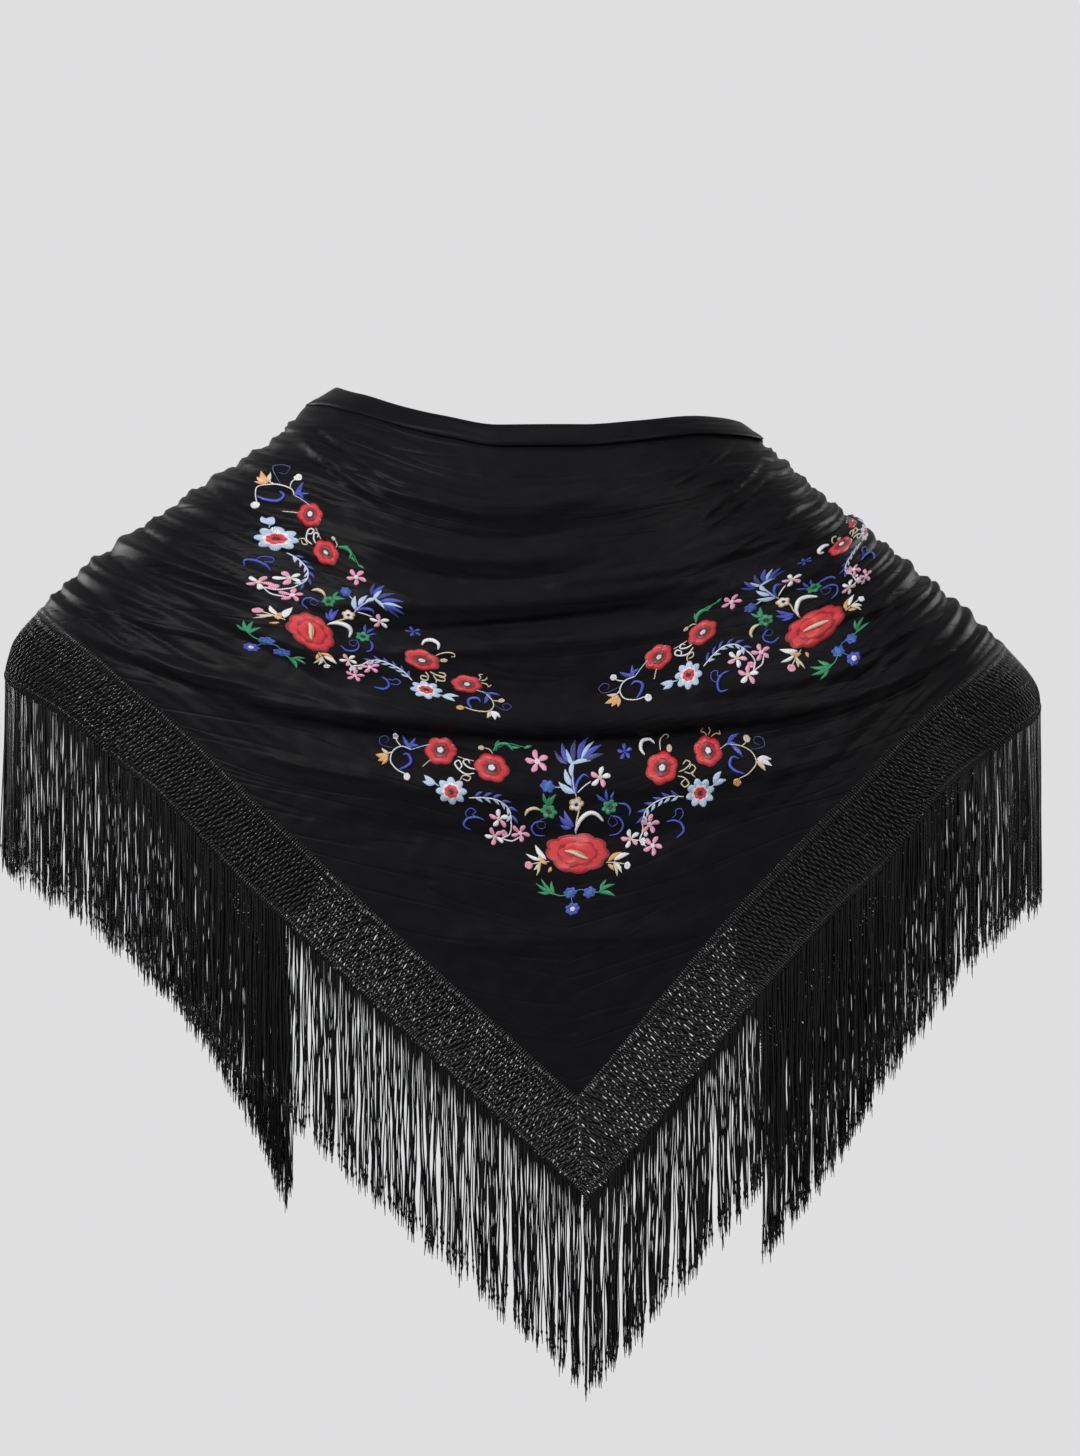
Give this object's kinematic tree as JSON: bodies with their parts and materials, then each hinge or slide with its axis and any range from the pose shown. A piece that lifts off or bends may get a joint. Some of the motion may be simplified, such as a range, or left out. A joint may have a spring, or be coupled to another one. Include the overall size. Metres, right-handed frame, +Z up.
{
  "type": "flamenco shawl",
  "caption": "Triangular black shawl worn open over both shoulders, with flower embroidery on the back, a knotted net band and a long fringe.",
  "frame": {"origin": "midway between the wearer's shoulders, at the height of the shawl's long edge at the back, where the shoulders hold the shawl up", "axes": "+Z up, +Y to the wearer's front, +X to the wearer's right, so the embroidered back faces -Y"},
  "size_m": [0.7692, 0.3062, 0.7444],
  "materials": {
    "cloth": "fine knitted cloth with a soft sheen",
    "net": "knotted net of glossy yarn",
    "fringe": "glossy twisted yarn"
  },
  "bodies": {
    "root": {"cloth": "cloth", "net_left": "net", "net_right": "net", "fringe_back_left": "fringe", "fringe_back_right": "fringe", "fringe_front_left": "fringe", "fringe_front_right": "fringe"}
  },
  "joints": []
}
